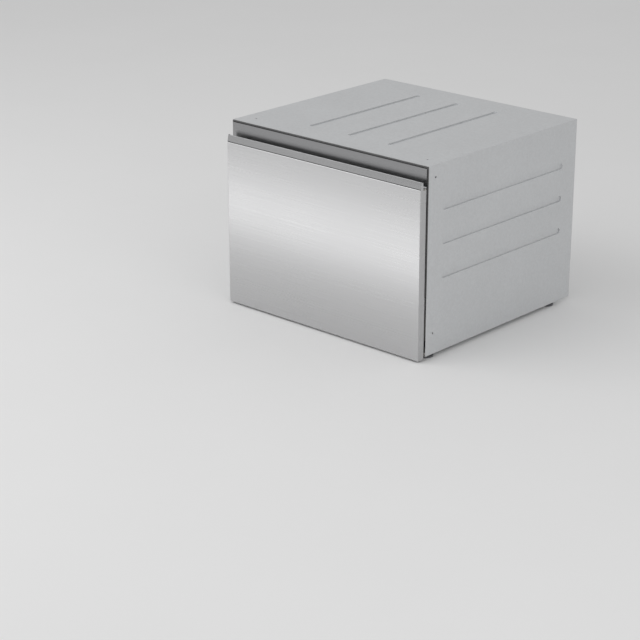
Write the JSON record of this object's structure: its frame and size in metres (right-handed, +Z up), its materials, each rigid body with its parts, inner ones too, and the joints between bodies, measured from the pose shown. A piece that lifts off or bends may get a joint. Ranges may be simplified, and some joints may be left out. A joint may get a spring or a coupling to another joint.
{
  "type": "drawer dishwasher",
  "caption": "Tall built-in dishwasher drawer with a brushed steel front, a recessed finger grip, a sliding tub on ball runners and a lid that lowers on it.",
  "frame": {"origin": "on the floor, at the middle of the overall width and depth, drawer closed", "axes": "+X to the right along the front, -Y out of the front towards the user, +Z up"},
  "size_m": [0.599, 0.573, 0.454],
  "materials": {
    "left_side_panel": "galvanised sheet, faint spangle",
    "right_side_panel": "galvanised sheet, faint spangle",
    "top_panel": "galvanised sheet, faint spangle",
    "rear_panel": "galvanised sheet, faint spangle",
    "base_tray": "moulded tray",
    "front_seal": "extruded rubber",
    "chassis_screws": "bright zinc plate",
    "inlet_valve": "moulded plastic, fine grain",
    "drain_outlet": "moulded plastic, fine grain",
    "mains_gland": "moulded plastic, fine grain",
    "power_module": "moulded plastic, fine grain",
    "outer_rails": "bright zinc plate",
    "lid_guides": "galvanised sheet, faint spangle",
    "lid_motors": "moulded plastic, fine grain",
    "flood_float": "foam-filled plastic",
    "foot_front_left": "moulded plastic, fine grain",
    "foot_front_right": "moulded plastic, fine grain",
    "foot_rear_left": "moulded plastic, fine grain",
    "foot_rear_right": "moulded plastic, fine grain",
    "middle_rails": "bright zinc plate",
    "outer_ball_cages": "bearing steel in strips",
    "inner_ball_cages": "bearing steel in strips",
    "inner_rails": "bright zinc plate",
    "runner_brackets": "galvanised sheet, faint spangle",
    "front_panel": "fine horizontal brushing",
    "panel_backing": "pressed board",
    "finger_lip": "fine horizontal brushing",
    "handle_channel": "fine horizontal brushing",
    "door_liner": "galvanised sheet, faint spangle",
    "inner_door": "moulded plastic, fine grain",
    "control_strip": "smooth black, clear display window",
    "control_board": "coated board",
    "drying_fan_case": "moulded plastic, fine grain",
    "detergent_dispenser": "moulded plastic, fine grain",
    "tub": "moulded plastic, fine grain",
    "wash_unit": "moulded plastic, fine grain",
    "filter_plate": "perforated sheet",
    "drain_pump": "moulded plastic, fine grain",
    "base_rack": "nylon-coated wire",
    "cutlery_basket": "moulded plastic",
    "lid_pan": "moulded plastic",
    "lid_seal": "soft rubber",
    "lid_sliders": "acetal",
    "lid_pinions": "acetal",
    "lower_link_arm": "moulded plastic, fine grain",
    "upper_link_arm": "moulded plastic, fine grain",
    "power_key": "moulded plastic, fine grain",
    "program_key": "moulded plastic, fine grain",
    "delay_key": "moulded plastic, fine grain",
    "start_key": "moulded plastic, fine grain",
    "fan_rotor": "moulded plastic, fine grain",
    "detergent_cover": "moulded plastic, fine grain",
    "rinse_aid_cap": "moulded plastic",
    "wash_rotor": "moulded plastic, fine grain",
    "spray_arm": "moulded plastic, fine grain",
    "drain_filter": "moulded plastic, fine grain",
    "front_tines": "nylon-coated wire",
    "rear_tines": "nylon-coated wire",
    "left_cup_shelf": "moulded plastic",
    "right_cup_shelf": "moulded plastic"
  },
  "bodies": {
    "chassis": {"left_side_panel": "left_side_panel", "right_side_panel": "right_side_panel", "top_panel": "top_panel", "rear_panel": "rear_panel", "base_tray": "base_tray", "front_seal": "front_seal", "chassis_screws": "chassis_screws", "inlet_valve": "inlet_valve", "drain_outlet": "drain_outlet", "mains_gland": "mains_gland", "power_module": "power_module", "outer_rails": "outer_rails", "lid_guides": "lid_guides", "lid_motors": "lid_motors"},
    "float": {"flood_float": "flood_float"},
    "foot_fl": {"foot_front_left": "foot_front_left"},
    "foot_fr": {"foot_front_right": "foot_front_right"},
    "foot_rl": {"foot_rear_left": "foot_rear_left"},
    "foot_rr": {"foot_rear_right": "foot_rear_right"},
    "middle_rails": {"middle_rails": "middle_rails"},
    "outer_cages": {"outer_ball_cages": "outer_ball_cages"},
    "inner_cages": {"inner_ball_cages": "inner_ball_cages"},
    "drawer": {"inner_rails": "inner_rails", "runner_brackets": "runner_brackets", "front_panel": "front_panel", "panel_backing": "panel_backing", "finger_lip": "finger_lip", "handle_channel": "handle_channel", "door_liner": "door_liner", "inner_door": "inner_door", "control_strip": "control_strip", "control_board": "control_board", "drying_fan_case": "drying_fan_case", "detergent_dispenser": "detergent_dispenser", "tub": "tub", "wash_unit": "wash_unit", "filter_plate": "filter_plate", "drain_pump": "drain_pump", "base_rack": "base_rack", "cutlery_basket": "cutlery_basket"},
    "lid": {"lid_pan": "lid_pan", "lid_seal": "lid_seal"},
    "sliders": {"lid_sliders": "lid_sliders"},
    "pinions": {"lid_pinions": "lid_pinions"},
    "lower_arm": {"lower_link_arm": "lower_link_arm"},
    "upper_arm": {"upper_link_arm": "upper_link_arm"},
    "power_key": {"power_key": "power_key"},
    "program_key": {"program_key": "program_key"},
    "delay_key": {"delay_key": "delay_key"},
    "start_key": {"start_key": "start_key"},
    "fan": {"fan_rotor": "fan_rotor"},
    "cover": {"detergent_cover": "detergent_cover"},
    "cap": {"rinse_aid_cap": "rinse_aid_cap"},
    "wash_rotor": {"wash_rotor": "wash_rotor"},
    "spray_arm": {"spray_arm": "spray_arm"},
    "drain_filter": {"drain_filter": "drain_filter"},
    "front_tines": {"front_tines": "front_tines"},
    "rear_tines": {"rear_tines": "rear_tines"},
    "left_shelf": {"left_cup_shelf": "left_cup_shelf"},
    "right_shelf": {"right_cup_shelf": "right_cup_shelf"}
  },
  "joints": [
    {"name": "drawer_slide", "type": "slide", "parent": "chassis", "child": "drawer", "axis": [0, -1, 0], "range_m": [0, 0.52]},
    {"name": "middle_rail_slide", "type": "slide", "parent": "chassis", "child": "middle_rails", "axis": [0, -1, 0], "range_m": [0, 0.26]},
    {"name": "outer_cage_slide", "type": "slide", "parent": "chassis", "child": "outer_cages", "axis": [0, -1, 0], "range_m": [0, 0.13]},
    {"name": "inner_cage_slide", "type": "slide", "parent": "chassis", "child": "inner_cages", "axis": [0, -1, 0], "range_m": [0, 0.39]},
    {"name": "lower_link_pivot", "type": "hinge", "parent": "chassis", "child": "lower_arm", "pos_m": [-0.235, 0.222, 0.026], "axis": [0, 0, -1], "range_deg": [0, 34.5]},
    {"name": "link_elbow", "type": "hinge", "parent": "lower_arm", "child": "upper_arm", "pos_m": [0.22456, 0.20194, 0.043], "axis": [0, 0, 1], "range_deg": [0, 69]},
    {"name": "lid_drop", "type": "slide", "parent": "chassis", "child": "lid", "axis": [0, 0, -1], "range_m": [0, 0.008]},
    {"name": "lid_slider_slide", "type": "slide", "parent": "chassis", "child": "sliders", "axis": [0, 1, 0], "range_m": [0, 0.024]},
    {"name": "lid_pinion_spin", "type": "hinge", "parent": "chassis", "child": "pinions", "pos_m": [0, 0.0605, 0.4383], "axis": [1, 0, 0], "range_deg": [0, 153]},
    {"name": "float_lift", "type": "slide", "parent": "chassis", "child": "float", "axis": [0, 0, 1], "range_m": [0, 0.005]},
    {"name": "foot_front_left_turn", "type": "hinge", "parent": "chassis", "child": "foot_fl", "pos_m": [-0.28, -0.236, 0.005], "axis": [0, 0, 1], "continuous": true},
    {"name": "foot_front_right_turn", "type": "hinge", "parent": "chassis", "child": "foot_fr", "pos_m": [0.28, -0.236, 0.005], "axis": [0, 0, 1], "continuous": true},
    {"name": "foot_rear_left_turn", "type": "hinge", "parent": "chassis", "child": "foot_rl", "pos_m": [-0.28, 0.222, 0.005], "axis": [0, 0, 1], "continuous": true},
    {"name": "foot_rear_right_turn", "type": "hinge", "parent": "chassis", "child": "foot_rr", "pos_m": [0.28, 0.222, 0.005], "axis": [0, 0, 1], "continuous": true},
    {"name": "power_key_press", "type": "slide", "parent": "drawer", "child": "power_key", "axis": [0, 0, -1], "range_m": [0, 0.0008], "stiffness_N_per_m": 300, "springref_m": -0.0006},
    {"name": "program_key_press", "type": "slide", "parent": "drawer", "child": "program_key", "axis": [0, 0, -1], "range_m": [0, 0.0008], "stiffness_N_per_m": 300, "springref_m": -0.0006},
    {"name": "delay_key_press", "type": "slide", "parent": "drawer", "child": "delay_key", "axis": [0, 0, -1], "range_m": [0, 0.0008], "stiffness_N_per_m": 300, "springref_m": -0.0006},
    {"name": "start_key_press", "type": "slide", "parent": "drawer", "child": "start_key", "axis": [0, 0, -1], "range_m": [0, 0.0008], "stiffness_N_per_m": 300, "springref_m": -0.0006},
    {"name": "fan_spin", "type": "hinge", "parent": "drawer", "child": "fan", "pos_m": [-0.17, -0.25, 0.262], "axis": [0, 1, 0], "continuous": true},
    {"name": "detergent_cover_slide", "type": "slide", "parent": "drawer", "child": "cover", "axis": [-1, 0, 0], "range_m": [0, 0.048]},
    {"name": "rinse_cap_turn", "type": "hinge", "parent": "drawer", "child": "cap", "pos_m": [0.172, -0.224, 0.297], "axis": [0, 1, 0], "range_deg": [0, 90]},
    {"name": "wash_rotor_spin", "type": "hinge", "parent": "drawer", "child": "wash_rotor", "pos_m": [0, 0.0055, 0.06], "axis": [0, 0, 1], "continuous": true},
    {"name": "spray_arm_spin", "type": "hinge", "parent": "drawer", "child": "spray_arm", "pos_m": [0, 0.0055, 0.106], "axis": [0, 0, 1], "continuous": true},
    {"name": "drain_filter_turn", "type": "hinge", "parent": "drawer", "child": "drain_filter", "pos_m": [0, -0.0525, 0.08], "axis": [0, 0, 1], "range_deg": [0, 45]},
    {"name": "front_tines_fold", "type": "hinge", "parent": "drawer", "child": "front_tines", "pos_m": [0, -0.0535, 0.1346], "axis": [-1, 0, 0], "range_deg": [0, 85]},
    {"name": "rear_tines_fold", "type": "hinge", "parent": "drawer", "child": "rear_tines", "pos_m": [0, 0.0745, 0.1346], "axis": [-1, 0, 0], "range_deg": [0, 85]},
    {"name": "left_shelf_fold", "type": "hinge", "parent": "drawer", "child": "left_shelf", "pos_m": [-0.252, 0.0085, 0.257], "axis": [0, -1, 0], "range_deg": [0, 85]},
    {"name": "right_shelf_fold", "type": "hinge", "parent": "drawer", "child": "right_shelf", "pos_m": [0.252, 0.0085, 0.257], "axis": [0, 1, 0], "range_deg": [0, 85]}
  ],
  "couplings": [
    {"joint": "middle_rail_slide", "follows": "drawer_slide", "ratio": 0.5},
    {"joint": "outer_cage_slide", "follows": "drawer_slide", "ratio": 0.25},
    {"joint": "inner_cage_slide", "follows": "drawer_slide", "ratio": 0.75},
    {"joint": "lower_link_pivot", "follows": "drawer_slide", "rad_per_m": 1.1509},
    {"joint": "link_elbow", "follows": "drawer_slide", "rad_per_m": 2.3018},
    {"joint": "lid_slider_slide", "follows": "lid_drop", "ratio": 3},
    {"joint": "lid_pinion_spin", "follows": "lid_drop", "rad_per_m": 333.33}
  ]
}
